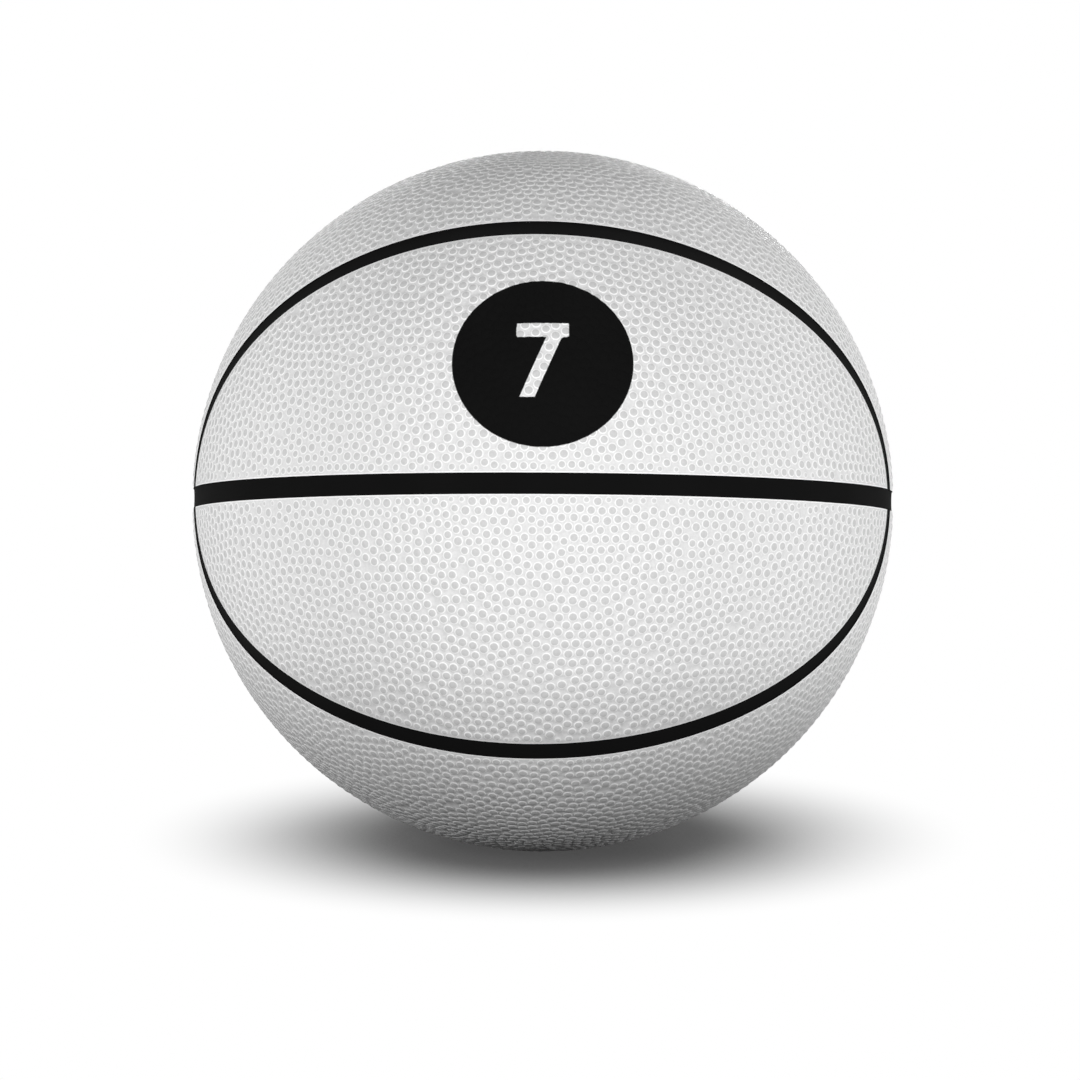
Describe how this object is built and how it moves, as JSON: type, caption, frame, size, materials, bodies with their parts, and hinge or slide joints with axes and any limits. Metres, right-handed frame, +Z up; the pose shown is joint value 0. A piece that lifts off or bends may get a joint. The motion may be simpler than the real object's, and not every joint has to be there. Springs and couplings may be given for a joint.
{
  "type": "basketball",
  "caption": "White pebbled basketball with black channels between its cover panels, a layered shell inside and a push-in inflation valve at the back.",
  "frame": {"origin": "centre of the flat patch under the ball, on the floor that it stands on", "axes": "+Z up as it stands, -Y to the front, where one oval channel faces the viewer, and +X to the viewer's right"},
  "size_m": [0.2398, 0.2392, 0.2387],
  "materials": {
    "cover_white": "white pebbled composite leather, satin",
    "channel_black": "matte black moulded rubber",
    "carcass_rubber": "dark grey vulcanised rubber",
    "winding_nylon": "cream nylon yarn in latex",
    "bladder_butyl": "black butyl rubber",
    "valve_rubber": "soft black rubber"
  },
  "bodies": {
    "ball": {"bladder": "bladder_butyl", "thread_winding": "winding_nylon", "carcass": "carcass_rubber", "valve_housing": "valve_rubber", "channel_equator": "channel_black", "channel_meridian_upper": "channel_black", "channel_meridian_lower": "channel_black", "channel_oval_front_upper": "channel_black", "channel_oval_front_lower": "channel_black", "channel_oval_rear_upper": "channel_black", "channel_oval_rear_lower": "channel_black", "panel_front_upper_inner": "cover_white", "panel_front_lower_inner": "cover_white", "panel_rear_upper_inner": "cover_white", "panel_rear_lower_inner": "cover_white", "panel_front_upper_outer": "cover_white", "panel_front_lower_outer": "cover_white", "panel_rear_upper_outer": "cover_white", "panel_rear_lower_outer": "cover_white"},
    "valve_core": {"valve_core": "valve_rubber"}
  },
  "joints": [
    {"name": "valve_core_pull", "type": "slide", "parent": "ball", "child": "valve_core", "axis": [0.0288, 0.9928, -0.116], "range_m": [0, 0.03]}
  ]
}
